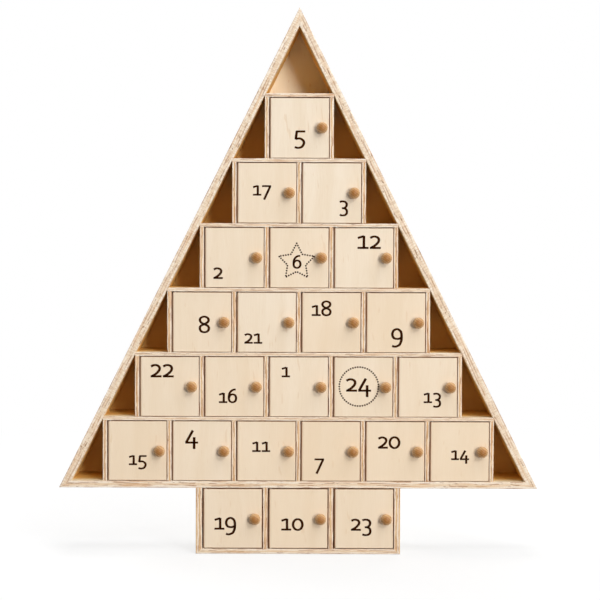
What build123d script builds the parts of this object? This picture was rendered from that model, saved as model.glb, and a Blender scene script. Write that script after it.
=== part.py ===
"""A wooden advent calendar: a tree-shaped plywood cabinet on a box base, with a hinged door a day.

Millimetres. +Z is up, the doors face -Y, and the origin is the middle of the base's underside.
Each row of the tree has one cell more than the row above it, so the two sloping boards lean in
by half a column for every row. The day's number names each door and its knob.
"""
import os
from collections import namedtuple
from math import hypot, sqrt

from build123d import *

# Days, row by row from the top of the tree, then the row in the base
tree_days = [
    [5],
    [17, 3],
    [2, 6, 12],
    [8, 21, 18, 9],
    [22, 16, 1, 24, 13],
    [15, 4, 11, 7, 20, 14],
]
base_days = [19, 10, 23]

# Doors, and the gaps round a door in its cell of the tree
door_width = 47.8
door_height = 48.2
door_thickness = 4.0
door_recess = 0.5          # door's face behind the front edges of the boards
hinge_gap = 0.5            # left of the door
latch_gap = 0.3            # right of the door
gap_below_door = 0.3
gap_above_door = 0.5
base_cell_play = 0.5       # a cell of the base is this much roomier, both ways

# Boards
board_depth = 57.0         # front edge to the back panel
side_thickness = 6.5       # the two sloping boards
shelf_thickness = 3.0
divider_thickness = 3.4
tree_floor_thickness = 5.5
base_side_thickness = 5.0
base_floor_thickness = 4.0
base_divider_thickness = 3.9
back_thickness = 3.0
bevel_height = 1.5         # of the corner by which a shelf bears on a sloping board
edge_ease = 0.3            # sanded chamfer along the front edges

# Turned knobs
knob_diameter = 9.0
knob_inset = 5.8           # knob's axis from the door's free edge
neck_diameter = 4.8        # where the neck stands on the door
neck_length = 0.5          # door's face to the ball
neck_hollow = 0.2          # depth of the neck's hollow, midway up
tenon_diameter = 4.0
tenon_length = 2.8
glue_gap = 0.05            # between the tenon and its hole, all round

# Steel hinge pins, driven through the boards into the top and bottom edges of the doors
pin_diameter = 1.4
pin_length = 14.0
pin_point = 1.2            # length of the tapered tip
pin_tip_diameter = 0.6
pin_head_diameter = 2.4
pin_head_thickness = 0.6
head_sink = 0.1            # the heads of pins and brads lie this far below the wood
pin_running_gap = 0.05     # between a pin and its hole in the door, all round
pin_end_room = 1.0         # between a pin's tip and the end of its hole

# Stop blocks, glued behind the free edges of the doors
stop_width = 5.0
stop_depth = 5.0
stop_height = 16.0
stop_gap = 0.2             # between a closed door and its stop

# Brads through the back panels
brad_diameter = 1.2
brad_length = 14.0
brad_point = 1.2
brad_tip_diameter = 0.4
brad_head_diameter = 2.2
brad_head_thickness = 0.5
side_brad_count = 5
floor_brad_count = 4
base_side_brad_count = 2
base_floor_brad_count = 3
brad_end_share = 0.08      # first and last brads from the ends of a board, as a share of its length
shelf_brad_share = 0.5     # a shelf's two brads from its middle, as a share of half its width
first_bradded_row = 2      # the top shelf is too short for brads

# Rows are counted from 1 at the top of the tree down to the base's
top_row = 1
base_row = top_row + len(tree_days)

# Cells, and where the boards of the tree and the base stand
cell_width = hinge_gap + door_width + latch_gap
cell_height = gap_below_door + door_height + gap_above_door
column_pitch = cell_width + divider_thickness
row_pitch = cell_height + shelf_thickness
base_cell_width = cell_width + base_cell_play
base_cell_height = cell_height + base_cell_play
base_pitch = base_cell_width + base_divider_thickness

front = -(board_depth + back_thickness) / 2
board_back = front + board_depth
mid_depth = front + board_depth / 2
back_face = board_back + back_thickness
tree_foot = base_floor_thickness + base_cell_height
tree_floor_top = tree_foot + tree_floor_thickness
base_inner_half = (len(base_days) * base_pitch - base_divider_thickness) / 2
base_half = base_inner_half + base_side_thickness
lean = column_pitch / 2 / row_pitch
side_across = side_thickness * hypot(1, lean)
front_plane = Plane.XZ.offset(-front)


def shelf_top(row):
    """Height of the top face of the shelf over a row."""
    return tree_floor_top + (base_row - row) * row_pitch


def row_half(row):
    """Half the width of a row, to the outer faces of its end dividers."""
    return (row * column_pitch + divider_thickness) / 2


def inner_half(height):
    """Half the width between the inner faces of the sloping boards at a height."""
    return row_half(top_row) + (shelf_top(top_row) - bevel_height - height) * lean


def outer_half(height):
    """Half the width over the outer faces of the sloping boards at a height."""
    return inner_half(height) + side_across


inner_apex = shelf_top(top_row) - bevel_height + row_half(top_row) / lean
outer_apex = inner_apex + side_across / lean

# A cell: its row, its day, its lower left corner, its clear size, the room round its door that the
# tree's cells don't have, and the thickness of the boards under and over it
Cell = namedtuple("Cell", "row day left bottom width height play under over")


def tree_cells():
    """The cells of the tree, row by row."""
    cells = []
    for row, days in enumerate(tree_days, start=top_row):
        bottom = shelf_top(row) - row_pitch
        under = tree_floor_thickness if row == base_row - 1 else shelf_thickness
        for column, day in enumerate(days):
            left = -row_half(row) + divider_thickness + column * column_pitch
            cells.append(
                Cell(row, day, left, bottom, cell_width, cell_height, 0, under, shelf_thickness)
            )
    return cells


def base_cells():
    """The cells of the base, left to right."""
    return [
        Cell(base_row, day, -base_inner_half + column * base_pitch, base_floor_thickness,
             base_cell_width, base_cell_height, base_cell_play, base_floor_thickness,
             tree_floor_thickness)
        for column, day in enumerate(base_days)
    ]


def hinge_x(cell):
    """A door turns about a line half its thickness in from its hinge edge."""
    return cell.left + hinge_gap + cell.play / 2 + door_thickness / 2


def door_bottom(cell):
    """Height of a door's lower edge."""
    return cell.bottom + gap_below_door + cell.play / 2


def spread(start, end, count):
    """Evenly spaced places along a board, kept clear of its ends."""
    margin = (end - start) * brad_end_share
    step = (end - start - 2 * margin) / (count - 1)
    return [start + margin + index * step for index in range(count)]


def write_piece(part, name):
    """Label a finished piece and write its file."""
    part.label = name
    export_step(part, f"parts/{name}.step")


cells = tree_cells() + base_cells()
hinge_y = front + door_recess + door_thickness / 2
os.makedirs("parts", exist_ok=True)

# Hinge pins go down through the board over each door and up through the board under it, and
# their heads are let into the far faces of those boards


def pins_down(row, sink=0):
    """Planes at the heads of the pins over the doors of a row, facing up."""
    tops = [(cell, cell.bottom + cell.height + cell.over) for cell in cells if cell.row == row]
    return [Plane((hinge_x(cell), hinge_y, top - sink), z_dir=(0, 0, 1)) for cell, top in tops]


def pins_up(row, sink=0):
    """Planes at the heads of the pins under the doors of a row, facing down."""
    feet = [(cell, cell.bottom - cell.under) for cell in cells if cell.row == row]
    return [Plane((hinge_x(cell), hinge_y, foot + sink), z_dir=(0, 0, -1)) for cell, foot in feet]


def bore_for_pins(row, thickness):
    """Bore the board that is being built, which lies over a row and under the row above it."""
    with Locations(*pins_down(row), *pins_up(row - 1)):
        CounterBoreHole(
            pin_diameter / 2, pin_head_diameter / 2, pin_head_thickness + head_sink, thickness
        )


# Brads hold the back panels to the rear edges of the boards behind them
side_heights = spread(tree_floor_top, inner_apex, side_brad_count)
side_brads = {
    hand: [(hand * (inner_half(z) + outer_half(z)) / 2, z) for z in side_heights] for hand in (-1, 1)
}
floor_line = tree_foot + tree_floor_thickness / 2
floor_brads = [
    (x, floor_line)
    for x in spread(-inner_half(tree_floor_top), inner_half(tree_floor_top), floor_brad_count)
]
shelf_brads = [
    (hand * row_half(row) * shelf_brad_share, shelf_top(row) - shelf_thickness / 2)
    for row in range(first_bradded_row, base_row)
    for hand in (-1, 1)
]
base_side_line = base_half - base_side_thickness / 2
base_side_brads = [
    (hand * base_side_line, z)
    for hand in (-1, 1)
    for z in spread(base_floor_thickness, tree_foot, base_side_brad_count)
]
base_floor_brads = [
    (x, base_floor_thickness / 2)
    for x in spread(-base_inner_half, base_inner_half, base_floor_brad_count)
]
tree_back_brads = side_brads[-1] + side_brads[1] + floor_brads + shelf_brads
base_back_brads = base_side_brads + base_floor_brads
brad_bite = brad_length + head_sink - back_thickness


def bore_for_brads(places):
    """Bore the rear edge of the board that is being built, as deep as the brads go in."""
    with Locations(*[Plane((x, board_back, z), z_dir=(0, 1, 0)) for x, z in places]):
        Hole(brad_diameter / 2, brad_bite)


def bore_panel(places):
    """Bore through the back panel that is being built, with a sunk seat for each brad's head."""
    with Locations(*[Plane((x, back_face, z), z_dir=(0, 1, 0)) for x, z in places]):
        CounterBoreHole(
            brad_diameter / 2, brad_head_diameter / 2, brad_head_thickness + head_sink, back_thickness
        )


# Sloping side boards, mitred to each other at the top and to the floor at the foot
for hand, name in ((-1, "left_side_board"), (1, "right_side_board")):
    with BuildPart() as side_board:
        with BuildSketch(front_plane):
            with BuildLine():
                Polyline(
                    (hand * inner_half(tree_floor_top), tree_floor_top),
                    (hand * outer_half(tree_foot), tree_foot),
                    (0, outer_apex),
                    (0, inner_apex),
                    close=True,
                )
            make_face()
        extrude(amount=-board_depth)
        front_edges = side_board.faces().sort_by(Axis.Y)[0].edges()
        chamfer(front_edges.sort_by(SortBy.LENGTH)[-2:], edge_ease)
        bore_for_brads(side_brads[hand])
    write_piece(side_board.part, name)

# Tree floor, with mitred ends
with BuildPart() as tree_floor_board:
    with BuildSketch(front_plane):
        with BuildLine():
            Polyline(
                (-outer_half(tree_foot), tree_foot),
                (outer_half(tree_foot), tree_foot),
                (inner_half(tree_floor_top), tree_floor_top),
                (-inner_half(tree_floor_top), tree_floor_top),
                close=True,
            )
        make_face()
    extrude(amount=-board_depth)
    front_edges = tree_floor_board.faces().sort_by(Axis.Y)[0].edges()
    chamfer(front_edges.sort_by(SortBy.LENGTH)[-2:], edge_ease)
    bore_for_pins(base_row, tree_floor_thickness)
    bore_for_brads(floor_brads)
write_piece(tree_floor_board.part, "tree_floor_board")

# Shelves, whose upper corners are bevelled to bear on the sloping boards
with BuildPart() as shelf_boards:
    with BuildSketch(front_plane):
        for row in range(top_row, base_row):
            half = row_half(row)
            top = shelf_top(row)
            with BuildLine():
                Polyline(
                    (-half, top - shelf_thickness),
                    (half, top - shelf_thickness),
                    (half, top - bevel_height),
                    (half - bevel_height * lean, top),
                    (-half + bevel_height * lean, top),
                    (-half, top - bevel_height),
                    close=True,
                )
            make_face()
    extrude(amount=-board_depth)
    chamfer(shelf_boards.faces().group_by(Axis.Y)[0].edges(), edge_ease)
    for row in range(top_row, base_row):
        bore_for_pins(row, shelf_thickness)
    bore_for_brads(shelf_brads)
write_piece(shelf_boards.part, "shelf_boards")

# Dividers of the tree, standing on the board under their row
with BuildPart() as row_dividers:
    for row in range(top_row, base_row):
        ends = row_half(row) - divider_thickness / 2
        middle = shelf_top(row) - row_pitch + cell_height / 2
        with Locations(*[(-ends + place * column_pitch, mid_depth, middle) for place in range(row + 1)]):
            Box(divider_thickness, board_depth, cell_height)
    chamfer(row_dividers.faces().group_by(Axis.Y)[0].edges(), edge_ease)
write_piece(row_dividers.part, "row_dividers")

# Base sides, mitred to the base floor, and the dividers between them
with BuildPart() as base_uprights:
    with BuildSketch(front_plane):
        for hand in (-1, 1):
            with BuildLine():
                Polyline(
                    (hand * base_half, 0),
                    (hand * base_half, tree_foot),
                    (hand * base_inner_half, tree_foot),
                    (hand * base_inner_half, base_floor_thickness),
                    close=True,
                )
            make_face()
    extrude(amount=-board_depth)
    first_divider = -base_inner_half + base_cell_width + base_divider_thickness / 2
    middle = base_floor_thickness + base_cell_height / 2
    places = [first_divider + place * base_pitch for place in range(len(base_days) - 1)]
    with Locations(*[(x, mid_depth, middle) for x in places]):
        Box(base_divider_thickness, board_depth, base_cell_height)
    front_edges = base_uprights.faces().group_by(Axis.Y)[0].edges()
    chamfer(front_edges.filter_by(Axis.Z), edge_ease)
    bore_for_brads(base_side_brads)
write_piece(base_uprights.part, "base_uprights")

# Base floor, with mitred ends
with BuildPart() as base_floor_board:
    with BuildSketch(front_plane):
        with BuildLine():
            Polyline(
                (-base_half, 0),
                (base_half, 0),
                (base_inner_half, base_floor_thickness),
                (-base_inner_half, base_floor_thickness),
                close=True,
            )
        make_face()
    extrude(amount=-board_depth)
    front_edges = base_floor_board.faces().sort_by(Axis.Y)[0].edges()
    chamfer(front_edges.sort_by(SortBy.LENGTH)[-2:], edge_ease)
    bore_for_pins(base_row + 1, base_floor_thickness)
    bore_for_brads(base_floor_brads)
write_piece(base_floor_board.part, "base_floor_board")

# Back panels, cut to the outlines of the tree and the base
panel_plane = front_plane.offset(-board_depth)
with BuildPart() as tree_back_panel:
    with BuildSketch(panel_plane):
        with BuildLine():
            Polyline(
                (-outer_half(tree_foot), tree_foot),
                (outer_half(tree_foot), tree_foot),
                (0, outer_apex),
                close=True,
            )
        make_face()
    extrude(amount=-back_thickness)
    chamfer(tree_back_panel.faces().sort_by(Axis.Y)[-1].edges(), edge_ease)
    bore_panel(tree_back_brads)
write_piece(tree_back_panel.part, "tree_back_panel")

with BuildPart() as base_back_panel:
    with BuildSketch(panel_plane):
        with BuildLine():
            Polyline(
                (-base_half, 0),
                (base_half, 0),
                (base_half, tree_foot),
                (-base_half, tree_foot),
                close=True,
            )
        make_face()
    extrude(amount=-back_thickness)
    chamfer(base_back_panel.faces().sort_by(Axis.Y)[-1].edges(), edge_ease)
    bore_panel(base_back_brads)
write_piece(base_back_panel.part, "base_back_panel")

# One door, standing on the origin with its hinge line up Z and its hinge edge rounded about it
half_door = door_thickness / 2
door_swing = door_width - half_door
knob_x = door_swing - knob_inset
thinnest_board = min(shelf_thickness, tree_floor_thickness, base_floor_thickness)
least_gap = min(gap_below_door, gap_above_door)
pin_hole_depth = pin_length + head_sink + pin_end_room - thinnest_board - least_gap
with BuildPart() as door:
    with BuildSketch():
        with BuildLine():
            Polyline((0, -half_door), (door_swing, -half_door), (door_swing, half_door), (0, half_door))
            ThreePointArc((0, half_door), (-half_door, 0), (0, -half_door))
        make_face()
    extrude(amount=door_height)
    free_edges = door.faces().sort_by(Axis.X)[-1].edges().filter_by(Axis.Z)
    end_edges = door.faces().sort_by(Axis.Z)[0].edges() + door.faces().sort_by(Axis.Z)[-1].edges()
    chamfer(free_edges + end_edges, edge_ease)
    with Locations(Plane((0, 0, 0), z_dir=(0, 0, -1)), Plane((0, 0, door_height), z_dir=(0, 0, 1))):
        Hole(pin_diameter / 2 + pin_running_gap, pin_hole_depth)
    with Locations(Plane((knob_x, -half_door, door_height / 2), z_dir=(0, -1, 0))):
        Hole(tenon_diameter / 2 + glue_gap, tenon_length + glue_gap)

# One knob, with its seat on the origin: a ball on a hollowed neck, and a tenon in the door
ball = knob_diameter / 2
neck_radius = neck_diameter / 2
ball_centre = neck_length + sqrt(ball**2 - neck_radius**2)
knob_reach = ball_centre + ball
with BuildPart() as knob:
    with BuildSketch():
        with BuildLine():
            Polyline(
                (0, 0),
                (0, tenon_length),
                (tenon_diameter / 2, tenon_length),
                (tenon_diameter / 2, 0),
                (neck_radius, 0),
            )
            ThreePointArc(
                (neck_radius, 0), (neck_radius - neck_hollow, -neck_length / 2), (neck_radius, -neck_length)
            )
            ThreePointArc((neck_radius, -neck_length), (ball, -ball_centre), (0, -knob_reach))
            Line((0, -knob_reach), (0, 0))
        make_face()
    revolve(axis=Axis.Y)

for cell in cells:
    place = Location((hinge_x(cell), hinge_y, door_bottom(cell)))
    seat = Location((hinge_x(cell) + knob_x, hinge_y - half_door, door_bottom(cell) + door_height / 2))
    write_piece(door.part.moved(place), f"door_{cell.day:02d}")
    write_piece(knob.part.moved(seat), f"knob_{cell.day:02d}")


def nail_outline(length, shank, head, head_thickness, point, tip):
    """Half the outline of a nail that hangs from the middle of its head, for turning about Z."""
    Polyline(
        (0, 0),
        (head / 2, 0),
        (head / 2, -head_thickness),
        (shank / 2, -head_thickness),
        (shank / 2, point - length),
        (tip / 2, -length),
        (0, -length),
        close=True,
    )


# Hinge pins
with BuildPart() as pin:
    with BuildSketch(Plane.XZ):
        with BuildLine():
            nail_outline(
                pin_length, pin_diameter, pin_head_diameter, pin_head_thickness, pin_point, pin_tip_diameter
            )
        make_face()
    revolve(axis=Axis.Z)

with BuildPart() as hinge_pins:
    for row in range(top_row, base_row + 1):
        with Locations(*pins_down(row, head_sink), *pins_up(row, head_sink)):
            add(pin.part)
write_piece(hinge_pins.part, "hinge_pins")

# Brads
with BuildPart() as brad:
    with BuildSketch(Plane.XZ):
        with BuildLine():
            nail_outline(
                brad_length, brad_diameter, brad_head_diameter, brad_head_thickness, brad_point,
                brad_tip_diameter
            )
        make_face()
    revolve(axis=Axis.Z)

with BuildPart() as back_brads:
    places = tree_back_brads + base_back_brads
    with Locations(*[Plane((x, back_face - head_sink, z), z_dir=(0, 1, 0)) for x, z in places]):
        add(brad.part)
write_piece(back_brads.part, "back_brads")

# Stop blocks, on the right wall of each cell behind the middle of the door's free edge
stop_y = front + door_recess + door_thickness + stop_gap + stop_depth / 2
with BuildPart() as door_stops:
    places = [
        (cell.left + cell.width - stop_width / 2, stop_y, cell.bottom + cell.height / 2) for cell in cells
    ]
    with Locations(*places):
        Box(stop_width, stop_depth, stop_height)
    chamfer(door_stops.faces().group_by(Axis.Y)[-1].edges(), edge_ease)
write_piece(door_stops.part, "door_stops")
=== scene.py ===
# %% [markdown]
# # A wooden advent calendar
# The calendar is a tree-shaped plywood cabinet on a box base, with a small hinged door for each day.
# Its boards, doors, knobs, pins and brads are solids already, packed as a frame of rigid bodies in
# metres, with the doors facing -Y. This lesson gives them their looks: birch veneer, the layered
# edges of plywood, turned beech, drawn steel, and the brown print on the doors.

# %% Load the frame
from math import cos, pi, radians, sin

import bpy
import numpy as np
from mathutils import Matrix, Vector


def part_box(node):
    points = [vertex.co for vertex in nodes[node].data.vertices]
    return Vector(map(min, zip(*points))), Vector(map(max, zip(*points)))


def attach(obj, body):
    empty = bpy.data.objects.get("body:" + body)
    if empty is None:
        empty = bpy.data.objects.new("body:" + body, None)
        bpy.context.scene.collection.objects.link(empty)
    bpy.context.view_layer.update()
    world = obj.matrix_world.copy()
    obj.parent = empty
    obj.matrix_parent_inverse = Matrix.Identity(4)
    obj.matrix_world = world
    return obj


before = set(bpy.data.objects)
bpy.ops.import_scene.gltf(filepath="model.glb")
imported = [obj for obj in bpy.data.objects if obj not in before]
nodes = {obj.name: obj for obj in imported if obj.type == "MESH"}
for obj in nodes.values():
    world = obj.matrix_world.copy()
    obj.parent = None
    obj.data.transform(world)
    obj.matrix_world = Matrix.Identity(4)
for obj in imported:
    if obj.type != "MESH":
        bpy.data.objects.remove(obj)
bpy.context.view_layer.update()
scene = bpy.context.scene
scene.view_settings.view_transform = "Standard"

# %% [markdown]
# ## Measures
# A pattern that follows the boards needs to know where they lie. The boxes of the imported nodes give
# that, so nothing is measured twice: neighbouring doors give the height of a row and the width of a
# column, and what the doors leave of the tree's height and of a row's width is board.

# %% Measures read from the frame
row_count = 6
day_count = 24
tree_floor = np.array(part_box("tree_floor_board"))
shelves = np.array(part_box("shelf_boards"))
dividers = np.array(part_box("row_dividers"))
base_floor = np.array(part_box("base_floor_board"))
base_uprights = np.array(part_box("base_uprights"))
tree_panel = np.array(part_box("tree_back_panel"))
doors = {day: np.array(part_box(f"door_{day:02d}")) for day in range(1, day_count + 1)}

front = tree_floor[0, 1]
tree_floor_top = tree_floor[1, 2]
column_pitch = doors[4][0, 0] - doors[15][0, 0]
row_pitch = doors[22][0, 2] - doors[15][0, 2]
shelf_thickness = tree_floor_top + row_pitch - shelves[0, 2]
divider_thickness = dividers[1, 0] - dividers[0, 0] - row_count * column_pitch
shelf_start = tree_floor_top - shelf_thickness
apex = tree_panel[1, 2]
lean = tree_panel[1, 0] / (apex - tree_panel[0, 2])
print(f"rows {row_pitch:.4f} m, columns {column_pitch:.4f} m, apex {apex:.4f} m")
print(f"shelves {shelf_thickness:.4f} m, dividers {divider_thickness:.4f} m")

# %% [markdown]
# ## Camera
# The photograph is taken from a little above the middle of the tree, almost square to it. The lines
# that run back into the niches meet at a point well above the image's middle, which gives the eye's
# height, and how much smaller the back panel looks than the front gives the distance. The lens then
# follows from the tree's size in the image.

# %% Camera
image_side = 600
sensor_width = 36.0
focal_pixels = 1868
eye_distance = 1.50
eye_height = 0.271
eye_aside = 0.0008
tilt_down = radians(2.50)
roll = radians(-0.20)

camera_data = bpy.data.cameras.new("photo_camera")
camera_data.sensor_width = sensor_width
camera_data.lens = focal_pixels * sensor_width / image_side
camera = bpy.data.objects.new("photo_camera", camera_data)
camera.location = (eye_aside, front - eye_distance, eye_height)
camera.rotation_euler = (pi / 2 - tilt_down, roll, 0)
scene.collection.objects.link(camera)
scene.camera = camera
print(f"lens {camera_data.lens:.1f} mm")

# %% [markdown]
# ## Nodes in few words
# Every finish below is a small graph of shader nodes. Writing such graphs in Blender's own calls takes
# many lines, so a few helpers add a node, set or link its inputs, and hand back an output. With them a
# line of the script reads like the formula that it stands for.

# %% Node helpers
def put(tree, kind, inputs=None, **settings):
    """Add a node. An input given a socket is linked to it, and any other value is set."""
    node = tree.nodes.new("ShaderNode" + kind)
    for key, value in settings.items():
        setattr(node, key, value)
    for key, value in (inputs or {}).items():
        if isinstance(value, bpy.types.NodeSocket):
            tree.links.new(value, node.inputs[key])
        else:
            node.inputs[key].default_value = value
    return node


def calc(tree, operation, *values):
    """One step of arithmetic on sockets and numbers."""
    return put(tree, "Math", dict(enumerate(values)), operation=operation).outputs[0]


def dot(tree, vector, direction):
    """How far a vector reaches along a direction."""
    inputs = {0: vector, 1: tuple(direction)}
    return put(tree, "VectorMath", inputs, operation="DOT_PRODUCT").outputs["Value"]


def combine(tree, x, y, z):
    """A vector from three numbers."""
    return put(tree, "CombineXYZ", {0: x, 1: y, 2: z}).outputs[0]


def fade(tree, value, start, end):
    """A soft step: 0 where the value is at start, 1 where it is at end."""
    inputs = {"Value": value, "From Min": start, "From Max": end}
    return put(tree, "MapRange", inputs, interpolation_type="SMOOTHSTEP").outputs[0]


def mix(tree, share, first, second):
    """A colour between two others."""
    return put(tree, "Mix", {0: share, 6: first, 7: second}, data_type="RGBA").outputs[2]


def noise(tree, vector, clouds, detail):
    """Cloudy noise from 0 to 1, with so many clouds to the metre along each axis."""
    scaled = put(tree, "VectorMath", {0: vector, 1: clouds}, operation="MULTIPLY").outputs[0]
    return put(tree, "TexNoise", {"Vector": scaled, "Scale": 1.0, "Detail": detail}).outputs["Fac"]


def patches(tree, vector, clouds, detail, start, end):
    """Soft patches: a fade of noise, 0 where the noise is at start and 1 where it is at end."""
    return fade(tree, noise(tree, vector, clouds, detail), start, end)


print("node helpers ready")

# %% [markdown]
# ## Colours, groups and materials
# Colours are written as they are read off a screen, from 0 to 255. A screen's numbers follow a curve,
# and shaders work with plain amounts of light, so the curve is undone. A finish that several pieces share
# is a node group, which is a graph with named sockets, and every finish ends in a material whose
# patterns read the object's own coordinates. A picture of wood would be quicker, but it would look
# stretched on thin edges.

# %% Colours, groups and materials
bump_strength = 0.6


def tone(red, green, blue):
    """A screen colour as the linear colour of a shader socket: the sRGB curve undone."""
    share = np.array((red, green, blue)) / 255
    linear = np.where(share > 0.04045, ((share + 0.055) / 1.055) ** 2.4, share / 12.92)
    return (*linear.tolist(), 1.0)


def new_group(name, inputs, outputs):
    """An empty node group with named sockets, and its input and output nodes."""
    group = bpy.data.node_groups.new(name, "ShaderNodeTree")
    for label, kind in inputs.items():
        group.interface.new_socket(label, in_out="INPUT", socket_type="NodeSocket" + kind)
    for label, kind in outputs.items():
        group.interface.new_socket(label, in_out="OUTPUT", socket_type="NodeSocket" + kind)
    return group, group.nodes.new("NodeGroupInput"), group.nodes.new("NodeGroupOutput")


def new_material(name, roughness, specular):
    """A material with its Principled shader, and the point on the object that its patterns read."""
    material = bpy.data.materials.new(name)
    material.use_nodes = True
    shader = material.node_tree.nodes["Principled BSDF"]
    shader.inputs["Roughness"].default_value = roughness
    shader.inputs["Specular IOR Level"].default_value = specular
    return material, material.node_tree, shader, put(material.node_tree, "TexCoord")


def emboss(tree, shader, height, depth):
    """Raise and sink the surface by a height from 0 to 1, so deep in metres."""
    bump = put(tree, "Bump", {"Height": height, "Strength": bump_strength, "Distance": depth})
    tree.links.new(bump.outputs[0], shader.inputs["Normal"])


print("white paper", tone(255, 255, 255))

# %% [markdown]
# ## Birch veneer
# The faces of the boards and doors are rotary-cut birch, sanded and left bare: pale, with a faint
# broad figure, hair-fine fibres along the grain and a few short brown flecks. An image of wood would
# repeat from door to door, so the veneer is built of noise that is stretched along the grain. It is a
# group, because boards, doors and panels share it with tones of their own.

# %% Birch veneer
bend_clouds = 22.0                # bends of the grain to the metre
bend_reach = (0.010, 0.010, 0.0)  # how far they move it aside, in metres
figure_clouds = (75, 75, 7), 3.0  # clouds to the metre along each axis, and detail
fibre_clouds = (1300, 1300, 30), 2.0
fleck_patches = (480, 480, 90), 0.0, 0.74, 0.84  # also the noise where a fleck starts and is full
veneer_range = (0.28, 0.72)       # the noise at the dark tone and at the light one
fibre_share = 0.30
fleck_share = 0.30
fleck_depth = 0.5


def make_birch_veneer():
    """Group: the veneer's colour and height at a place given as across, deep and along the grain.

    Broad noise and fine noise, both long in the grain, choose between a light and a dark tone, and
    the peaks of a third noise are flecks."""
    sockets = {"Place": "Vector", "Light": "Color", "Dark": "Color", "Fleck": "Color"}
    group, given, result = new_group("birch_veneer", sockets, {"Color": "Color", "Height": "Float"})
    place = given.outputs["Place"]
    bend = put(group, "TexNoise", {"Vector": place, "Scale": bend_clouds, "Detail": 1.0}).outputs["Color"]
    bend = put(group, "VectorMath", {0: bend, 1: (0.5, 0.5, 0.5)}, operation="SUBTRACT").outputs[0]
    bend = put(group, "VectorMath", {0: bend, 1: bend_reach}, operation="MULTIPLY").outputs[0]
    place = put(group, "VectorMath", {0: place, 1: bend}, operation="ADD").outputs[0]
    figure = noise(group, place, *figure_clouds)
    fibre = noise(group, place, *fibre_clouds)
    fleck = patches(group, place, *fleck_patches)
    fine = calc(group, "MULTIPLY", fibre, fibre_share)
    blend = calc(group, "MULTIPLY_ADD", figure, 1.0 - fibre_share, fine)
    lightness = fade(group, blend, *veneer_range)
    colour = mix(group, lightness, given.outputs["Dark"], given.outputs["Light"])
    colour = mix(group, calc(group, "MULTIPLY", fleck, fleck_share), colour, given.outputs["Fleck"])
    height = calc(group, "SUBTRACT", fibre, calc(group, "MULTIPLY", fleck, fleck_depth))
    group.links.new(colour, result.inputs["Color"])
    group.links.new(height, result.inputs["Height"])
    return group


birch_veneer = make_birch_veneer()
print("group", birch_veneer.name)

# %% [markdown]
# ## Ply edges
# Plywood is glued from thin sheets whose grain runs one way and the other in turn, and the sawn edge
# shows them as stripes. A sheet cut along its grain is pale and streaked lengthwise, and one cut
# across it is browner and speckled. Thin brown glue lines part them, broken and a little wavy, with
# long orange streaks and a few small gaps. The stripes are counted in plies through the board, so the
# same group serves every board.

# %% Ply edges
long_tones = tone(241, 223, 199), tone(250, 239, 223)
across_tones = tone(214, 172, 122), tone(235, 204, 163)
stroke_tone = tone(208, 174, 136)
seam_tone = tone(152, 86, 36)
stain_tone = tone(212, 152, 92)
gap_tone = tone(136, 86, 46)
waver_clouds = (40, 40, 0.2), 2.0  # along and across to the metre, and through the board to the ply
streak_patches = (45, 45, 3.1), 3.0, 0.36, 0.64
speckle_patches = (900, 900, 6.0), 2.0, 0.32, 0.68
saw_patches = (1150, 1150, 0.5), 1.0, 0.42, 0.64
seam_patches = (90, 90, 0.9), 2.0, 0.47, 0.58
stain_patches = (34, 34, 1.6), 2.0, 0.53, 0.64
gap_patches = (150, 150, 1.9), 1.0, 0.68, 0.75
waver_reach = 1.3                 # how far the plies waver, in plies
seam_reach = (0.32, 0.08)         # how far from a seam its line starts and is full, in plies
stain_share = 0.65
gap_share = 0.8
speckle_depth = 0.2
seam_depth = 0.4


def lay_plies(group, given):
    """The plies' own colour, the place within a ply and the speckle of end grain.

    The depth, moved a little by noise, is cut into whole plies. Odd plies show end grain, or even ones
    where Turn is 1. Bands says how far they stand out, and Strokes how strongly the saw marked them."""
    place = given.outputs["Place"]
    deep = put(group, "SeparateXYZ", {0: place}).outputs["Z"]
    waver = calc(group, "SUBTRACT", noise(group, place, *waver_clouds), 0.5)
    wavy = calc(group, "MULTIPLY_ADD", waver, waver_reach, deep)
    within = calc(group, "FRACT", wavy)
    counted = calc(group, "ADD", calc(group, "FLOOR", wavy), given.outputs["Turn"])
    cross = calc(group, "FLOORED_MODULO", counted, 2.0)
    cross = calc(group, "MULTIPLY", cross, given.outputs["Bands"])
    streaks = patches(group, place, *streak_patches)
    speckle = patches(group, place, *speckle_patches)
    colour = mix(group, cross, mix(group, streaks, *long_tones), mix(group, speckle, *across_tones))
    saw = patches(group, place, *saw_patches)
    saw = calc(group, "MULTIPLY", saw, given.outputs["Strokes"])
    return mix(group, saw, colour, stroke_tone), within, speckle


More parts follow.
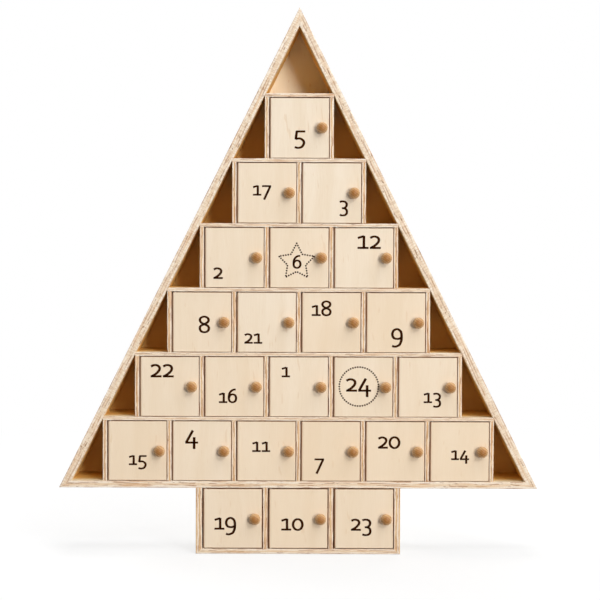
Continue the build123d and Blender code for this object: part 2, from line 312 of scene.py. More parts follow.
def make_ply_edges():
    """Group: the colour and height of a sawn edge at a place given as along, across and plies deep.

    Over the plies lie the seams, which are dark near a whole number of plies and broken by noise, the
    stains beside them, and small gaps. Seams says how strong the first two are."""
    labels = "Turn", "Strokes", "Seams", "Bands"
    sockets = {"Place": "Vector", **dict.fromkeys(labels, "Float")}
    group, given, result = new_group("ply_edges", sockets, {"Color": "Color", "Height": "Float"})
    place = given.outputs["Place"]
    colour, within, speckle = lay_plies(group, given)

    to_seam = calc(group, "MINIMUM", within, calc(group, "SUBTRACT", 1.0, within))
    broken = patches(group, place, *seam_patches)
    seam = calc(group, "MULTIPLY", fade(group, to_seam, *seam_reach), broken)
    seam = calc(group, "MULTIPLY", seam, given.outputs["Seams"])
    colour = mix(group, seam, colour, seam_tone)
    stain = patches(group, place, *stain_patches)
    stain = calc(group, "MULTIPLY", stain, given.outputs["Seams"])
    colour = mix(group, calc(group, "MULTIPLY", stain, stain_share), colour, stain_tone)
    gap = patches(group, place, *gap_patches)
    colour = mix(group, calc(group, "MULTIPLY", gap, gap_share), colour, gap_tone)

    sunk = calc(group, "MULTIPLY_ADD", seam, seam_depth, gap)
    rough = calc(group, "MULTIPLY_ADD", speckle, speckle_depth, 1.0 - speckle_depth)
    height = calc(group, "SUBTRACT", rough, sunk)
    group.links.new(colour, result.inputs["Color"])
    group.links.new(height, result.inputs["Height"])
    return group


ply_edges = make_ply_edges()
print("group", ply_edges.name)

# %% [markdown]
# ## Niches
# Past the ends of each row the sloping boards leave triangular niches, and one more lies over the top
# shelf. The wood in them is painted browner than on the fronts, more so further back: painted shade of
# the recesses. The niches could be cut out as pieces of their own, but the boards run on into the cells,
# so a mask is worked out instead: a row of cells is known from its height, and how far it reaches from
# its number.

# %% Niches
along_x, along_y, along_z = np.eye(3)


def row_of(tree, height):
    """The row of cells that a height lies in, counted up from the tree's foot."""
    above_foot = calc(tree, "SUBTRACT", height, shelf_start)
    return calc(tree, "FLOOR", calc(tree, "DIVIDE", above_foot, row_pitch))


def in_niche(tree, point, normal):
    """1 beyond the ends of a row of cells and 0 within them. A row is half a pitch narrower at each end
    than the one below. The normal moves the underside of a shelf into the row that it covers."""
    upward = dot(tree, normal, along_z)
    height = calc(tree, "MULTIPLY_ADD", upward, shelf_thickness / 2, dot(tree, point, along_z))
    cell_count = calc(tree, "SUBTRACT", row_count, row_of(tree, height))
    half = calc(tree, "MULTIPLY", cell_count, column_pitch / 2)
    return calc(tree, "GREATER_THAN", calc(tree, "ABSOLUTE", dot(tree, point, along_x)), half)


print(f"the lowest row reaches {row_count * column_pitch / 2:.4f} m from the middle")

# %% [markdown]
# ## Plywood
# A board of plywood has veneer on its two faces and plies on its edges. Which of them a point shows
# follows from the way the surface faces: square to the layers is veneer, and along them is edge. A
# material for each way of standing carries the direction through the layers, where they start and how
# thick the board is. Shelves and dividers repeat, so their depth is taken modulo their spacing, and the
# board's number moves the pattern of its edges, so that no two look alike. Low on the tree the edges
# are painted a little warmer and darker, as painted shade that grows towards the bottom. The doors'
# edges are browned, partly as a laser leaves them and partly as painted shade for the gaps round them.

# %% Faces of the boards
tone_labels = "Light", "Dark", "Fleck"
pale_tones = tone(244, 230, 210), tone(235, 217, 192), tone(214, 180, 140)
panel_tones = tone(253, 243, 218), tone(249, 235, 204), tone(218, 182, 134)
base_thickness = base_floor[1, 2]
# In the niches the tones go from the panel's near the front to browner ones further back: painted shade.
niche_shade_depth = 0.020              # how far behind the front a niche has its full tone, in metres


def lowness(tree, point):
    """0 at the top shelf and 1 at the base's floor."""
    return fade(tree, dot(tree, point, along_z), shelves[1, 2], base_thickness)


def layer_depth(tree, distance, start, pitch):
    """How deep a distance lies in its board, and that board's number: the distance from start, modulo
    pitch, and how many times the pitch went into it. Without a pitch there is one board, number 0."""
    deep = calc(tree, "SUBTRACT", distance, start)
    if not pitch:
        return deep, 0.0
    number = calc(tree, "FLOOR", calc(tree, "DIVIDE", deep, pitch))
    return calc(tree, "FLOORED_MODULO", deep, pitch), number


def tint_niches(tree, veneer, point, inside, tones, inner):
    """Change the veneer's light, dark and fleck tones where inside is 1: there they go from the panel's
    tones at the front to the inner ones further back, as painted shade that deepens into the niche."""
    depth = fade(tree, dot(tree, point, along_y), front, front + niche_shade_depth)
    for label, outer, near, far in zip(tone_labels, tones, panel_tones, inner):
        tree.links.new(mix(tree, inside, outer, mix(tree, depth, near, far)), veneer.inputs[label])


print(f"the base's floor is {base_thickness:.4f} m thick")

# %% Plywood
# The low tone and the edge warmth are painted shade: the lower edges turn warmer and darker.
low_shade_tone = tone(226, 190, 148)
# The scorch tone browns the doors' edges: laser browning, and painted shade for the gaps round them.
browning_and_gap_shade_tone = tone(136, 78, 34)
edge_low_shade = 0.12
edge_move = 0.37                  # from one board's edge pattern to the next, in metres
end_grain = 0.7                   # how squarely an edge looks along the grain to show its end
face_edge = (0.90, 0.80)          # how squarely a surface looks along the layers, from face to edge
bare_roughness = 0.62
bare_specular = 0.2
plywood_relief = 0.00012


def plywood(name, stack, start, thickness, grain, plies, tones, inner=None, both=False, pitch=0.0,
            folded=False, strokes=0.1, seams=1.0, bands=1.0, browning_and_gap_shade=0.0, vary=None):
    """A material for boards whose layers lie along stack and whose face grain runs along grain.

    The depth in a board is the point's distance along stack, mirrored where it is folded, from start,
    modulo pitch. Depth over thickness, times the plies, counts the plies. In the niches the faces that
    look back along stack, or both faces, take the inner tones, which are painted shade. Strokes, seams
    and bands say how strongly the saw, the glue lines and the cross plies show, and scorch how far the
    edges are browned, by laser and as painted shade for the gaps. Vary gives a shift of the veneer and a
    share of another tone: random on the doors, and painted shade low on the doors and on the niche panel."""
    material, tree, shader, spot = new_material(name, bare_roughness, bare_specular)
    point, normal = spot.outputs["Object"], spot.outputs["Normal"]
    distance = dot(tree, point, stack)
    if folded:
        distance = calc(tree, "ABSOLUTE", distance)
    deep, number = layer_depth(tree, distance, start, pitch)
    aside = dot(tree, point, np.cross(grain, stack))
    length = dot(tree, point, grain)
    facing = dot(tree, normal, stack)

    place = combine(tree, aside, distance, length)
    if vary:
        shift, shade, other = vary(tree, point, normal)
        place = put(tree, "VectorMath", {0: place, 1: shift}, operation="ADD").outputs[0]
    veneer = put(tree, "Group", {"Place": place, **dict(zip(tone_labels, tones))}, node_tree=birch_veneer)
    # In the niches the faces take the browner inner tones: painted shade of the recesses.
    if inner:
        inside = in_niche(tree, point, normal)
        if not both:
            inside = calc(tree, "MULTIPLY", inside, calc(tree, "LESS_THAN", facing, 0.0))
        tint_niches(tree, veneer, point, inside, tones, inner)
    face_colour = veneer.outputs["Color"]
    if vary:
        face_colour = mix(tree, shade, face_colour, other)

    moved = calc(tree, "MULTIPLY_ADD", number, edge_move, aside)
    layers = calc(tree, "MULTIPLY", deep, plies / thickness)
    looks = {"Strokes": strokes, "Seams": seams, "Bands": bands}
    edge = put(tree, "Group", {"Place": combine(tree, length, moved, layers), **looks}, node_tree=ply_edges)
    turned = calc(tree, "ABSOLUTE", dot(tree, normal, grain))
    tree.links.new(calc(tree, "GREATER_THAN", turned, end_grain), edge.inputs["Turn"])
    # Lower edges lean towards the low tone: painted shade, darker towards the bottom.
    warmth = calc(tree, "MULTIPLY", lowness(tree, point), edge_low_shade)
    edge_colour = mix(tree, warmth, edge.outputs["Color"], low_shade_tone)
    # Browned edges: laser browning, and painted shade for the gaps round the doors.
    if browning_and_gap_shade:
        edge_colour = mix(tree, browning_and_gap_shade, edge_colour, browning_and_gap_shade_tone)

    on_edge = fade(tree, calc(tree, "ABSOLUTE", facing), *face_edge)
    tree.links.new(mix(tree, on_edge, face_colour, edge_colour), shader.inputs["Base Color"])
    height = put(tree, "Mix", {0: on_edge, 2: veneer.outputs["Height"], 3: edge.outputs["Height"]})
    emboss(tree, shader, height.outputs[0], plywood_relief)
    return material


def finish_nodes(material, *names):
    """Put a material on every slot of some CAD nodes."""
    for name in names:
        for slot in nodes[name].material_slots:
            slot.material = material
    print(material.name, "on", len(names), "nodes")


print("plywood ready")

# %% [markdown]
# ## Boards of the cabinet
# The sloping boards, floors, shelves, dividers and uprights are sawn from three-ply birch, with the
# grain along each board. One material could serve them all, but it would have to find out which board a
# point is on, so each kind of board has its own. The fine strokes of the saw show on the sloping boards,
# whose plies hardly differ. The edges of floors and shelves are calmer than those of the dividers.

# %% Sloping boards
ply_count = 3
sloping_thickness = 0.0065
# Browner tones for the faces in the niches: painted shade of the recesses.
niche_shade_tones = tone(244, 202, 124), tone(236, 188, 106), tone(188, 136, 76)
sloping_edge = {"strokes": 0.5, "seams": 0.5, "bands": 0.3}
steep = np.hypot(1.0, lean)
for hand, name in ((-1, "left_side_board"), (1, "right_side_board")):
    outward = np.array((hand, 0.0, lean)) / steep
    upward = np.array((-hand * lean, 0.0, 1.0)) / steep
    inner_face = apex * outward[2] - sloping_thickness
    sloping_ply = plywood(name + "_ply", outward, inner_face, sloping_thickness, upward, ply_count,
                          pale_tones, niche_shade_tones, **sloping_edge)
    finish_nodes(sloping_ply, name)

# %% Floors and shelves
calm_edge = {"seams": 0.7, "bands": 0.5}
floor_thickness = tree_floor_top - tree_floor[0, 2]
tree_floor_ply = plywood("tree_floor_ply", -along_z, -tree_floor_top, floor_thickness, along_x, ply_count,
                         pale_tones, niche_shade_tones, **calm_edge)
finish_nodes(tree_floor_ply, "tree_floor_board")
base_floor_ply = plywood("base_floor_ply", -along_z, -base_thickness, base_thickness, along_x, ply_count,
                         pale_tones, **calm_edge)
finish_nodes(base_floor_ply, "base_floor_board")
shelf_ply = plywood("shelf_ply", along_z, shelf_start, shelf_thickness, along_x, ply_count, pale_tones,
                    niche_shade_tones, both=True, pitch=row_pitch, **calm_edge)
finish_nodes(shelf_ply, "shelf_boards")

# %% Dividers and uprights
divider_ply = plywood("divider_ply", along_x, -divider_thickness / 2, divider_thickness, along_z, ply_count,
                      pale_tones, niche_shade_tones, both=True, pitch=column_pitch / 2)
finish_nodes(divider_ply, "row_dividers")
base_side_thickness = 0.005
base_cell_count = 3
base_pitch = doors[10][0, 0] - doors[19][0, 0]
base_inner_half = base_uprights[1, 0] - base_side_thickness
base_divider_thickness = base_cell_count * base_pitch - 2 * base_inner_half
upright_ply = plywood("base_upright_ply", along_x, base_inner_half - base_pitch, base_divider_thickness,
                      along_z, ply_count, pale_tones, pitch=base_pitch, folded=True)
finish_nodes(upright_ply, "base_uprights")

# %% [markdown]
# ## Back panels and stops
# A thin panel closes the cells and niches at the back. Over the top shelf its inner face is pale, and in
# the niches below it is painted brown, as painted shade of the recesses. Two panels would show a joint,
# so one material goes from the one tone to the other with height, and only in the niches: behind the
# doors the panel stays pale. The small blocks that stop the doors are solid wood, so they count as one
# ply that is thicker than any of them.

# %% Back panels and stops
# The heart tone is painted shade: the panel's inner face turns brown in the niches below the top shelf.
panel_shade_tone = tone(252, 206, 126)
no_shift = (0.0, 0.0, 0.0)
solid_thickness = 1.0
panel_front = tree_panel[0, 1]
panel_thickness = tree_panel[1, 1] - panel_front


def heartwood(tree, point, normal):
    """The share of painted shade: none just over the top shelf and all of it half a row below, in the
    niches and on the panel's inner face only."""
    top_shelf = shelves[1, 2]
    brown = fade(tree, dot(tree, point, along_z), top_shelf + shelf_thickness, top_shelf - row_pitch / 2)
    brown = calc(tree, "MULTIPLY", brown, in_niche(tree, point, normal))
    inner_side = fade(tree, dot(tree, point, along_y), panel_front + panel_thickness / 2, panel_front)
    return no_shift, calc(tree, "MULTIPLY", brown, inner_side), panel_shade_tone


panel_ply = plywood("panel_ply", along_y, panel_front, panel_thickness, along_z, ply_count, pale_tones,
                    panel_tones, vary=heartwood)
finish_nodes(panel_ply, "tree_back_panel", "base_back_panel")
stop_wood = plywood("stop_block_wood", along_y, front, solid_thickness, along_z, 1, pale_tones)
finish_nodes(stop_wood, "door_stops")

# %% [markdown]
# ## Doors
# The doors are sawn from many sheets, so the veneer starts anew on each of them and some are a shade
# warmer than others. A number for each cell, worked out from the row and the column that a point lies
# in, moves the veneer and mixes in a little of the darker tone. The lower doors also take more of that
# tone, as painted shade that grows towards the bottom. A material for every door would do too, but
# this one keeps them all in one place.

# %% Doors
# The door tone serves both random warmer doors and painted shade on the lower doors.
door_warm_and_shade_tone = tone(236, 208, 172)
veneer_move = 5.0                 # how far apart two doors' veneers may start, in metres
chance_warmth = 0.25
door_low_shade = 0.40
# The laser scorch is laser browning and painted shade for the gaps round the doors.
laser_browning_and_gap_shade = 0.75
door_front, door_back = doors[1][0, 1], doors[1][1, 1]


def door_by_door(tree, point, normal):
    """Shift and shade for each door: its row counts up the tree, and its column starts half a pitch
    further left in rows with an odd number of doors, so that every door lies in a cell of its own."""
    row = row_of(tree, dot(tree, point, along_z))
    odd = calc(tree, "FLOORED_MODULO", calc(tree, "SUBTRACT", row_count, row), 2.0)
    column = calc(tree, "DIVIDE", dot(tree, point, along_x), column_pitch)
    column = calc(tree, "FLOOR", calc(tree, "MULTIPLY_ADD", odd, 0.5, column))
    chance = put(tree, "TexWhiteNoise", {"Vector": combine(tree, column, row, 0.5)})
    shift = put(tree, "VectorMath", {0: chance.outputs["Color"], "Scale": veneer_move}, operation="SCALE")
    # The lower a door, the more of the darker tone it takes: painted shade, darker towards the bottom.
    low = calc(tree, "MULTIPLY", lowness(tree, point), door_low_shade)
    shade = calc(tree, "MULTIPLY_ADD", chance.outputs["Value"], chance_warmth, low)
    return shift.outputs[0], shade, door_warm_and_shade_tone


door_ply = plywood("door_ply", along_y, door_front, door_back - door_front, along_z, ply_count, pale_tones,
                   browning_and_gap_shade=laser_browning_and_gap_shade, vary=door_by_door)
finish_nodes(door_ply, *[f"door_{day:02d}" for day in doors])

# %% [markdown]
# ## Turned knobs
# The knobs are turned from beech rod with the grain along their axis, so end grain faces the viewer:
# fine pores on a warm brown ground, crossed by soft growth rings. Beech also shows short darker rays.
# The rings of a thin rod are arcs of a big trunk, so waves across the rod, bent by noise, will do.
# End grain drinks more light than the sides, so the tip is darker.

# %% Turned beech
side_tones = tone(192, 148, 100), tone(225, 187, 140)
tip_tones = tone(146, 92, 40), tone(172, 118, 58)
ray_tone = tone(158, 106, 60)
ring_waves = (2200, 120, 3400)    # radians to the metre along each axis
ring_bend = 9.0
ring_clouds = (160, 60, 160), 1.0
pore_clouds = (2600, 220, 2600), 2.0
ray_patches = (1500, 160, 700), 0.0, 0.66, 0.78
beech_range = (0.25, 0.75)        # the noise at the dark tone and at the light one
ring_share = 0.30
ray_share = 0.4
tip_reach = (0.42, 1.0)           # how squarely the surface looks along the rod, from side to tip
beech_roughness = 0.40
beech_specular = 0.30
beech_relief = 0.00006


def make_turned_beech():
    """Rings are a sine of the distance across the rod, moved by noise. Pores are fine noise that is
    long in Y, the rod's axis, and rays are the peaks of a coarser one. The tip, which faces along the
    axis, shows darker end grain."""
    material, tree, shader, spot = new_material("turned_beech", beech_roughness, beech_specular)
    point = spot.outputs["Object"]
    bend = noise(tree, point, *ring_clouds)
    rings = calc(tree, "MULTIPLY_ADD", bend, ring_bend, dot(tree, point, ring_waves))
    rings = calc(tree, "MULTIPLY_ADD", calc(tree, "SINE", rings), 0.5, 0.5)
    pores = noise(tree, point, *pore_clouds)
    rays = patches(tree, point, *ray_patches)
    fine = calc(tree, "MULTIPLY", pores, 1.0 - ring_share)
    blend = fade(tree, calc(tree, "MULTIPLY_ADD", rings, ring_share, fine), *beech_range)
    along_rod = calc(tree, "ABSOLUTE", dot(tree, spot.outputs["Normal"], along_y))
    tip = fade(tree, along_rod, *tip_reach)
    dark = mix(tree, tip, side_tones[0], tip_tones[0])
    light = mix(tree, tip, side_tones[1], tip_tones[1])
    colour = mix(tree, blend, dark, light)
    colour = mix(tree, calc(tree, "MULTIPLY", rays, ray_share), colour, ray_tone)
    tree.links.new(colour, shader.inputs["Base Color"])
    emboss(tree, shader, pores, beech_relief)
    return material


finish_nodes(make_turned_beech(), *[f"knob_{day:02d}" for day in doors])

# %% [markdown]
# ## Pins and brads
# The hinge pins and the brads in the back are drawn steel wire with pressed heads. They are bright,
# with fine scratches and duller spots. So little of them shows that one noise can choose both the tone
# and the shine.

# %% Drawn steel
wire_tones = tone(150, 148, 144), tone(206, 204, 200)
scratch_clouds = (3000, 3000, 3000), 3.0
wire_range = (0.35, 0.65)         # the noise at the dark tone and at the light one
steel_roughness = 0.35
steel_specular = 0.5
dull_wire, bright_wire = 0.50, 0.22


def make_drawn_steel():
    """Roughness and tone follow fine noise, so the wire shines unevenly."""
    material, tree, shader, spot = new_material("drawn_steel", steel_roughness, steel_specular)
    shader.inputs["Metallic"].default_value = 1.0
    scratch = noise(tree, spot.outputs["Object"], *scratch_clouds)
    colour = mix(tree, fade(tree, scratch, *wire_range), *wire_tones)
    tree.links.new(colour, shader.inputs["Base Color"])
    dull = put(tree, "MapRange", {"Value": scratch, "To Min": dull_wire, "To Max": bright_wire})
    tree.links.new(dull.outputs[0], shader.inputs["Roughness"])
    return material


finish_nodes(make_drawn_steel(), "hinge_pins", "back_brads")

# %% [markdown]
# ## Numbers
# The numbers are printed in brown, in old-style figures: 0, 1 and 2 are as high as small letters, 6
# and 8 rise above them, and the others hang below the line. A font would bring its own shapes, so the
# figures are drawn as a sign painter draws them, as strokes of a flat pen: each is a line through a
# few points, and the pen's thin section is carried along it. Heights are in shares of the height of a
# small figure, and a figure stands on the line 0.

# %% Lines and curves
def line(*points):
    """A straight stroke from corner to corner."""
    return np.array(points, dtype=float)


def curve(*points, closed=False, steps=10):
    """A smooth stroke through a few points: between two of them, the cubic that passes each in the
    direction of the line between its neighbours."""
    knots = np.array(points, dtype=float)
    if closed:
        knots = np.concatenate([knots[-1:], knots, knots[:2]])
    else:
        before, after = 2 * knots[:1] - knots[1:2], 2 * knots[-1:] - knots[-2:-1]
        knots = np.concatenate([before, knots, after])
    a, b, c, d = knots[:-3], knots[1:-2], knots[2:-1], knots[3:]
    t = np.linspace(0, 1, steps, endpoint=False)[:, None, None]
    cubic = 2 * b + (c - a) * t + (2 * a - 5 * b + 4 * c - d) * t**2 + (3 * b - a - 3 * c + d) * t**3
    path = (cubic / 2).transpose(1, 0, 2).reshape(-1, 2)
    return np.concatenate([path, knots[-2:-1]])


def oval(middle, radii, steps=48):
    """A closed ring: the middle plus the radii times cosine and sine."""
    turn = np.linspace(0, 2 * pi, steps + 1)[:, None]
    return np.array(middle) + np.array(radii) * np.concatenate([np.cos(turn), np.sin(turn)], axis=1)


print("an oval has", len(oval((0, 0), (1, 1))), "points")

# %% Figures
figures = {
    "0": (0.96, [oval((0.48, 0.50), (0.40, 0.46))]),
    "1": (0.88, [
        curve((0.05, 0.82), (0.23, 0.88), (0.51, 0.96)),
        line((0.52, 1.00), (0.52, 0.07)),
        line((0.03, 0.07), (0.88, 0.07))]),
    "2": (0.86, [
        curve((0.05, 0.83), (0.21, 0.91), (0.40, 0.94), (0.61, 0.87), (0.71, 0.72), (0.68, 0.55),
              (0.55, 0.38), (0.36, 0.22), (0.11, 0.08)),
        line((0.02, 0.07), (0.86, 0.07))]),
    "3": (0.80, [
        curve((0.05, 0.88), (0.20, 0.93), (0.37, 0.94), (0.56, 0.89), (0.68, 0.77), (0.71, 0.62),
              (0.66, 0.46), (0.54, 0.34), (0.42, 0.30), (0.25, 0.29)),
        curve((0.42, 0.29), (0.56, 0.25), (0.68, 0.15), (0.73, -0.04), (0.69, -0.22), (0.57, -0.34),
              (0.39, -0.38), (0.23, -0.38), (0.05, -0.32))]),
    "4": (1.00, [
        line((0.60, 1.01), (0.08, 0.07)),
        line((0.02, 0.07), (1.00, 0.07)),
        line((0.70, 0.49), (0.70, -0.42))]),
    "5": (0.91, [
        line((0.17, 0.93), (0.91, 0.93)),
        line((0.23, 0.96), (0.15, 0.30)),
        curve((0.14, 0.33), (0.29, 0.36), (0.45, 0.37), (0.61, 0.31), (0.75, 0.19), (0.81, 0.03),
              (0.75, -0.15), (0.63, -0.30), (0.45, -0.37), (0.28, -0.38), (0.06, -0.32))]),
    "6": (0.87, [
        curve((0.77, 1.36), (0.54, 1.33), (0.31, 1.19), (0.13, 0.92), (0.08, 0.52), (0.15, 0.20),
              (0.44, 0.06), (0.72, 0.19), (0.81, 0.48), (0.71, 0.76), (0.44, 0.86), (0.21, 0.76),
              (0.10, 0.56))]),
    "7": (0.90, [
        line((0.00, 0.94), (0.90, 0.94)),
        line((0.82, 0.94), (0.20, -0.42))]),
    "8": (0.93, [
        curve((0.46, 1.37), (0.74, 1.27), (0.83, 1.08), (0.73, 0.89), (0.45, 0.73), (0.17, 0.59),
              (0.09, 0.38), (0.19, 0.14), (0.46, 0.05), (0.75, 0.14), (0.85, 0.38), (0.75, 0.59),
              (0.45, 0.73), (0.19, 0.88), (0.09, 1.08), (0.18, 1.27), closed=True)]),
    "9": (0.89, [
        curve((0.80, 0.30), (0.62, 0.23), (0.45, 0.21), (0.25, 0.25), (0.14, 0.35), (0.08, 0.52),
              (0.09, 0.70), (0.17, 0.87), (0.30, 0.96), (0.45, 1.00), (0.58, 0.96), (0.73, 0.83),
              (0.80, 0.64), (0.82, 0.43), (0.81, 0.16), (0.75, -0.07), (0.64, -0.27), (0.49, -0.36),
              (0.33, -0.41), (0.19, -0.40), (0.06, -0.35))]),
}
print("figures", " ".join(figures))

# %% [markdown]
# ## Pen
# The pen's section is a thin rectangle: as wide as the stroke, a few hundredths of a millimetre proud
# of the door's face and sunk a little into it, so that the print is a closed skin that sits on the
# wood. A stroke's ends are closed by the section itself.

# %% Strokes of the pen
print_proud = 0.00004
print_sunk = 0.00002
thin_share = 0.78                 # a level stroke's width, of an upright one's


def carry_pen(path, width):
    """The pen's section at every point of a path on the door, as corners and faces.

    A point gives four corners: half a width to its left and right, square to the path there, on the
    front and the back of the skin. The pen is narrower where the path runs level. Neighbouring sections
    are joined by quads. A path that comes back to its start is joined there, and any other is closed at
    both ends."""
    closed = np.allclose(path[0], path[-1])
    if closed:
        path = path[:-1]
        ahead = np.roll(path, -1, axis=0) - np.roll(path, 1, axis=0)
    else:
        ahead = np.gradient(path, axis=0)
    ahead /= np.linalg.norm(ahead, axis=1, keepdims=True)
    broad = width * (thin_share + (1 - thin_share) * np.abs(ahead[:, 1:]))
    side = np.stack([-ahead[:, 1], ahead[:, 0]], axis=1) * broad / 2
    left, right = path + side, path - side
    flat = np.stack([left, right, right, left], axis=1)
    skin = np.broadcast_to([-print_proud, -print_proud, print_sunk, print_sunk], flat.shape[:2])
    corners = np.stack([flat[..., 0], skin, flat[..., 1]], axis=2).reshape(-1, 3)

    here = np.arange(len(path) if closed else len(path) - 1)
    there = (here + 1) % len(path)
    corner, next_corner = np.arange(4), (np.arange(4) + 1) % 4
    quads = np.stack([
        here[:, None] * 4 + corner, here[:, None] * 4 + next_corner,
        there[:, None] * 4 + next_corner, there[:, None] * 4 + corner], axis=2).reshape(-1, 4)
    if not closed:
        last = 4 * (len(path) - 1)
        quads = np.concatenate([quads, [[3, 2, 1, 0]], last + np.array([[0, 1, 2, 3]])])
    return corners, quads.tolist()


def join(pieces):
    """Several sets of corners and faces as one."""
    starts = np.cumsum([0] + [len(corners) for corners, _ in pieces[:-1]])
    corners = np.concatenate([corners for corners, _ in pieces])
    faces = []
    for (_, quads), start in zip(pieces, starts):
        faces += (np.array(quads) + start).tolist()
    return corners, faces


def add_piece(name, corners, faces, body, material):
    """A mesh of those corners and faces that rides on a body."""
    mesh = bpy.data.meshes.new(name)
    mesh.from_pydata(corners.tolist(), [], faces)
    mesh.materials.append(material)
    piece = bpy.data.objects.new(name, mesh)
    scene.collection.objects.link(piece)
    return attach(piece, body)


print("pen ready")

# %% [markdown]
# ## Ink
# The print is a dark brown, soaked into the wood, so it is not quite even: a little thinner where the
# fibres stand up, and nowhere glossy. It could be painted into the veneer's material, but strokes with
# a material of their own stay crisp at any distance.

# %% Brown ink
ink_tones = tone(48, 20, 3), tone(66, 34, 10)
ink_clouds = (1300, 1300, 60), 2.0
ink_range = (0.35, 0.70)          # the noise at the dark tone and at the light one
ink_roughness = 0.8
ink_specular = 0.05
ink_relief = 0.00003


def make_brown_ink():
    """Two browns, chosen by fine noise that is long in the grain of the doors."""
    material, tree, shader, spot = new_material("brown_ink", ink_roughness, ink_specular)
    fibre = noise(tree, spot.outputs["Object"], *ink_clouds)
    colour = mix(tree, fade(tree, fibre, *ink_range), *ink_tones)
    tree.links.new(colour, shader.inputs["Base Color"])
    emboss(tree, shader, fibre, ink_relief)
    return material


brown_ink = make_brown_ink()
print("material", brown_ink.name)

# %% [markdown]
# ## Printing the days
# The numbers stand at a different place and in a different size on every door, as if dealt out by
# hand. Each line of the table has a day's place on its door in millimetres: the left of its first
# figure from the hinge edge, the line it stands on above the door's foot, and a small figure's height.

# %% Numbers on the doors
millimetre = 0.001
figure_gap = 0.075                # between two figures, of a small figure's height
pen_least = 0.0009
pen_growth = 0.118                # of a small figure's height
places = {
    1: (10.0, 32.0, 8.0), 2: (7.0, 7.0, 9.0), 3: (30.0, 9.5, 8.5), 4: (10.5, 30.0, 10.5),
    5: (19.5, 12.0, 10.0), 6: (19.0, 15.5, 7.5), 7: (11.0, 9.5, 8.5), 8: (21.5, 15.5, 9.5),
    9: (20.5, 9.0, 10.0), 10: (10.0, 14.5, 9.5), 11: (12.5, 23.5, 8.0), 12: (18.5, 31.5, 10.5),
    13: (20.5, 11.5, 8.0), 14: (17.0, 17.5, 7.5), 15: (17.0, 12.5, 7.75), 16: (11.5, 11.0, 8.0),
    17: (12.5, 22.0, 8.0), 18: (8.0, 29.5, 8.5), 19: (9.0, 15.0, 9.5), 20: (10.0, 26.5, 9.5),
    21: (6.0, 7.0, 8.0), 22: (8.5, 31.5, 10.5), 23: (13.5, 14.5, 9.5), 24: (10.0, 20.5, 10.5),
}


def pen_width(height):
    """Larger figures are drawn with a slightly broader pen."""
    return pen_least + pen_growth * height


def on_door(day, corners):
    """Corners given from the lower left of a door's face, moved onto that door."""
    return corners + doors[day][0]


def print_number(day):
    """The strokes of a day's figures, one figure after the other along the line."""
    start, foot, height = np.array(places[day]) * millimetre
    strokes = []
    for sign in str(day):
        width, paths = figures[sign]
        strokes += [carry_pen(path * height + (start, foot), pen_width(height)) for path in paths]
        start += (width + figure_gap) * height
    corners, faces = join(strokes)
    return add_piece(f"number_{day:02d}", on_door(day, corners), faces, f"leaf_{day:02d}", brown_ink)


numbers = [print_number(day) for day in doors]
print("printed", len(numbers), "numbers")

# %% [markdown]
# ## Dotted star and ring
# Two days have an ornament round their number, printed as a row of dots: a five-pointed star and a
# ring. The dots sit at even steps along the outline, and each is a small round skin like the strokes.

# %% Dots
dot_pitch = 0.0020
dot_radius = 0.00074
dot_sides = 10


def even_steps(corners, pitch):
    """Points about a pitch apart along a closed outline, found by interpolating its corners against
    the length walked so far."""
    loop = np.concatenate([corners, corners[:1]])
    walked = np.concatenate([[0], np.cumsum(np.linalg.norm(np.diff(loop, axis=0), axis=1))])
    stops = np.linspace(0, walked[-1], round(walked[-1] / pitch), endpoint=False)
    return np.stack([np.interp(stops, walked, loop[:, axis]) for axis in (0, 1)], axis=1)


def print_dots(name, day, middle, outline):
    """Round dots at even steps along an outline: every dot is its middle plus a circle, on the front
    and the back of the skin."""
    middles = even_steps(outline, dot_pitch) + np.array(middle) * millimetre
    turn = np.arange(dot_sides) * 2 * pi / dot_sides
    circle = dot_radius * np.stack([np.cos(turn), np.sin(turn)], axis=1)
    flat = np.broadcast_to((middles[:, None] + circle)[:, None], (len(middles), 2, dot_sides, 2))
    skin = np.broadcast_to(np.array([-print_proud, print_sunk])[:, None], flat.shape[:3])
    corners = np.stack([flat[..., 0], skin, flat[..., 1]], axis=3).reshape(-1, 3)
    side = np.arange(dot_sides)
    after = (side + 1) % dot_sides
    rim = np.stack([after, side, side + dot_sides, after + dot_sides], axis=1)
    starts = np.arange(len(middles)) * 2 * dot_sides
    faces = (starts[:, None, None] + rim).reshape(-1, 4).tolist()
    faces += (starts[:, None] + side).tolist()
    faces += (starts[:, None] + side[::-1] + dot_sides).tolist()
    print(name, len(middles), "dots")
    return add_piece(name, on_door(day, corners), faces, f"leaf_{day:02d}", brown_ink)


print(f"dots every {dot_pitch / millimetre:.1f} mm")

# %% Star and ring
star_day, star_middle = 6, (22.0, 20.7)
ring_day, ring_middle = 24, (20.5, 24.5)
star_tips = 5
star_radius = 0.0150
star_inner_radius = 0.0077
ring_radius = 0.0158
tip = np.arange(2 * star_tips)
tip_turn = pi / 2 + tip * pi / star_tips
tip_radius = np.where(tip % 2, star_inner_radius, star_radius)
star = np.stack([tip_radius * np.cos(tip_turn), tip_radius * np.sin(tip_turn)], axis=1)
print_dots("dotted_star", star_day, star_middle, star)
ring = oval((0, 0), (ring_radius, ring_radius))[:-1]
print_dots("dotted_ring", ring_day, ring_middle, ring)

# %% [markdown]
# ## Studio
# The photograph is lit from the right. A key lamp low in front reaches into the niches and leaves their
# right sides dark, and a side lamp above it lights the niches' floors. Wide lamps over them and further
# right make the knobs round, and a weak one on the upper left lifts their shadows. Three more stand
# behind, so that the top, the back and the left side do not go black in other views. A picture of a
# studio wrapped round the scene could light it too, but lamps can be moved one at a time. A lamp's level
# is how bright it makes white paper that faces it: paper at a distance d from a small lamp of power P
# receives P / (pi d^2), and gives 1 / pi of that back.

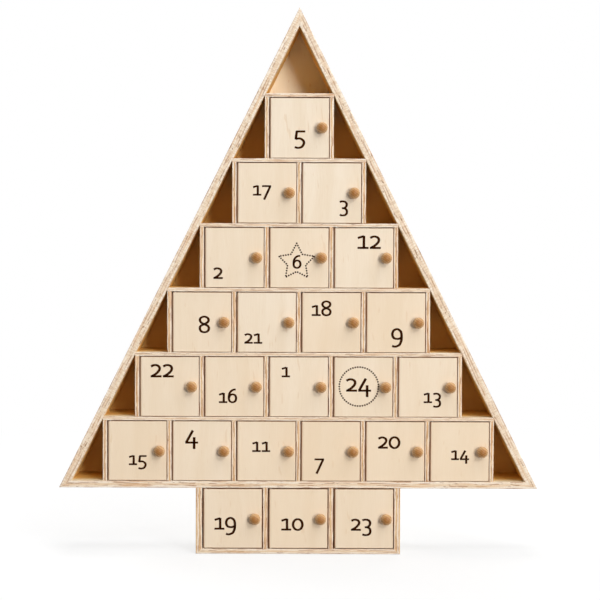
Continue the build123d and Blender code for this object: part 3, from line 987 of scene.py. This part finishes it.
# %% Lamps
tree_middle = 0.21
aim = Vector((0.0, 0.0, tree_middle))
lamps = {                         # azimuth, elevation, distance, size and level
    "key_lamp": (24, 3, 5.0, 1.0, 0.46),
    "side_lamp": (28, 27, 5.0, 1.4, 0.335),
    "over_lamp": (34, 60, 3.0, 1.8, 0.26),
    "right_lamp": (60, 42, 3.0, 2.4, 0.22),
    "left_lamp": (-26, 52, 2.6, 0.6, 0.06),
    "top_lamp": (180, 78, 2.0, 1.0, 0.42),
    "back_lamp": (165, 14, 2.4, 1.2, 0.50),
    "rim_lamp": (-128, 14, 2.4, 1.2, 0.55),
}


def hang_lamp(name, azimuth, elevation, distance, size, level):
    """A square area lamp round the tree, at angles in degrees: azimuth 0 is in front and 90 on the right.
    Its power is the level times the squares of pi and of the distance."""
    light = bpy.data.lights.new(name, "AREA")
    light.size = size
    light.energy = level * pi**2 * distance**2
    around, up = radians(azimuth), radians(elevation)
    away = Vector((sin(around) * cos(up), -cos(around) * cos(up), sin(up)))
    bulb = bpy.data.objects.new(name, light)
    bulb.location = aim + away * distance
    bulb.rotation_euler = away.to_track_quat("Z", "Y").to_euler()
    bulb.visible_camera = False
    scene.collection.objects.link(bulb)
    print(f"{name}: {light.energy:.1f} W")


for name, settings in lamps.items():
    hang_lamp(name, *settings)

# %% [markdown]
# ## Room and floor
# The room beyond is white to the eye, and gives only a little light of its own. The floor is white
# paper: a plain diffuse surface that takes the shadow near the calendar, lifted to white where it is
# looked at, and nothing but white further off. More light would whiten it as well, but it would bleach
# the wood.

# %% White room
room_level = 0.02
plain_white = (1, 1, 1, 1)


def seen_rays(tree):
    """1 for rays from the camera, also in a reflection or through glass, and 0 for light."""
    path = put(tree, "LightPath")
    seen = calc(tree, "MAXIMUM", path.outputs["Is Camera Ray"], path.outputs["Is Glossy Ray"])
    return calc(tree, "MAXIMUM", seen, path.outputs["Is Transmission Ray"])


room = bpy.data.worlds.new("white_room")
room.use_nodes = True
scene.world = room
lit = room.node_tree.nodes["Background"]
lit.inputs["Color"].default_value = plain_white
lit.inputs["Strength"].default_value = room_level
white = put(room.node_tree, "Background", {"Color": plain_white, "Strength": 1.0})
looked_at = seen_rays(room.node_tree)
either = put(room.node_tree, "MixShader", {0: looked_at, 1: lit.outputs[0], 2: white.outputs[0]})
room.node_tree.links.new(either.outputs[0], room.node_tree.nodes["World Output"].inputs["Surface"])
print("room", room.name)

# %% White paper
floor_share = 0.25                # of the light that the paper gives back
floor_lift = 0.74                 # added to it where it is looked at
near_floor, far_floor = 0.35, 0.90
paper = bpy.data.materials.new("white_paper")
paper.use_nodes = True
tree = paper.node_tree
tree.nodes.remove(tree.nodes["Principled BSDF"])
seen = seen_rays(tree)
matt = put(tree, "BsdfDiffuse", {"Color": (floor_share, floor_share, floor_share, 1)})
lift = put(tree, "Emission", {"Strength": calc(tree, "MULTIPLY", seen, floor_lift)})
near = put(tree, "AddShader", {0: matt.outputs[0], 1: lift.outputs[0]})
far = put(tree, "Emission", {"Strength": 1.0})
spot = put(tree, "TexCoord").outputs["Object"]
reach = put(tree, "VectorMath", {0: spot}, operation="LENGTH").outputs["Value"]
away = calc(tree, "MULTIPLY", seen, fade(tree, reach, near_floor, far_floor))
both = put(tree, "MixShader", {0: away, 1: near.outputs[0], 2: far.outputs[0]})
tree.links.new(both.outputs[0], tree.nodes["Material Output"].inputs["Surface"])
print("material", paper.name)

# %% Floor
floor_half = 12.0
floor_height = -0.0002
floor_mesh = bpy.data.meshes.new("studio_floor")
floor_corners = floor_half * np.array([(-1, -1, 0), (1, -1, 0), (1, 1, 0), (-1, 1, 0)])
floor_corners[:, 2] = floor_height
floor_mesh.from_pydata(floor_corners.tolist(), [], [(0, 1, 2, 3)])
floor_mesh.materials.append(paper)
studio_floor = bpy.data.objects.new("studio_floor", floor_mesh)
scene.collection.objects.link(studio_floor)
print(f"floor {2 * floor_half:.0f} m square")
